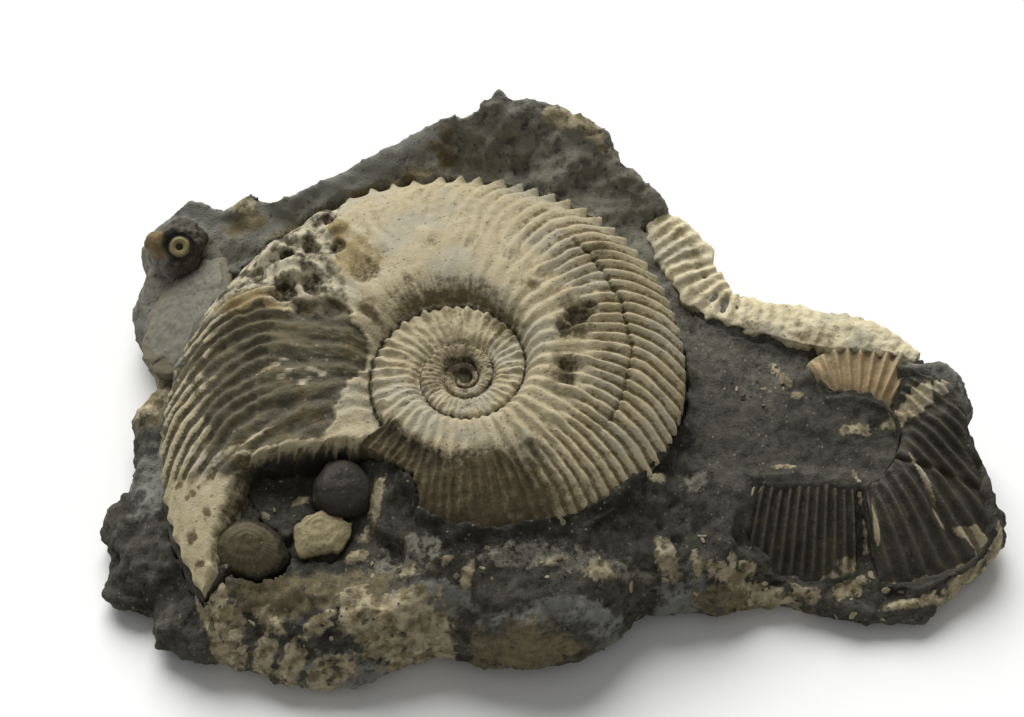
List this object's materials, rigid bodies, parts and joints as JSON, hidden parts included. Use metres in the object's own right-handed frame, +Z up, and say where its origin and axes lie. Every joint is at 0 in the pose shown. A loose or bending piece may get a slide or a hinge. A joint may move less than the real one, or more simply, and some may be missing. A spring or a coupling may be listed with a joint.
{
  "type": "ammonite fossil in matrix",
  "caption": "Irregular block of dark shelly limestone with a large ribbed ammonite on top, beside smaller ammonite, bivalve and worm tube fossils.",
  "frame": {"origin": "under the middle of the block's bounds, on the flat of its underside", "axes": "+X along the block towards the narrow end with the half-buried ammonite, +Y towards the high back edge, +Z up out of the face with the large ammonite"},
  "size_m": [0.1274, 0.0856, 0.0292],
  "materials": {
    "matrix": "dark grey, rough and finely pitted, with pale shell fragments",
    "main_ammonite": "cream shell, matt, brown in the grooves, and dark grey where only the mould is left",
    "right_ammonite": "dark ribbed mould with cream shell left in places, pinkish brown at its upper side",
    "low_ammonite": "dark ribbed mould with a cream edge",
    "edge_ammonite": "cream shell, matt, worn",
    "grey_valve": "smooth grey shell with a slight sheen",
    "dark_valve": "dark, finely ringed",
    "brown_valve": "brown, mottled",
    "cream_valve": "cream, worn",
    "worm_tube": "dark outside with a yellowish ring round its bore"
  },
  "bodies": {
    "root": {"matrix": "matrix", "main_ammonite": "main_ammonite", "right_ammonite": "right_ammonite", "low_ammonite": "low_ammonite", "edge_ammonite": "edge_ammonite", "grey_valve": "grey_valve", "dark_valve": "dark_valve", "brown_valve": "brown_valve", "cream_valve": "cream_valve", "worm_tube": "worm_tube"}
  },
  "joints": []
}
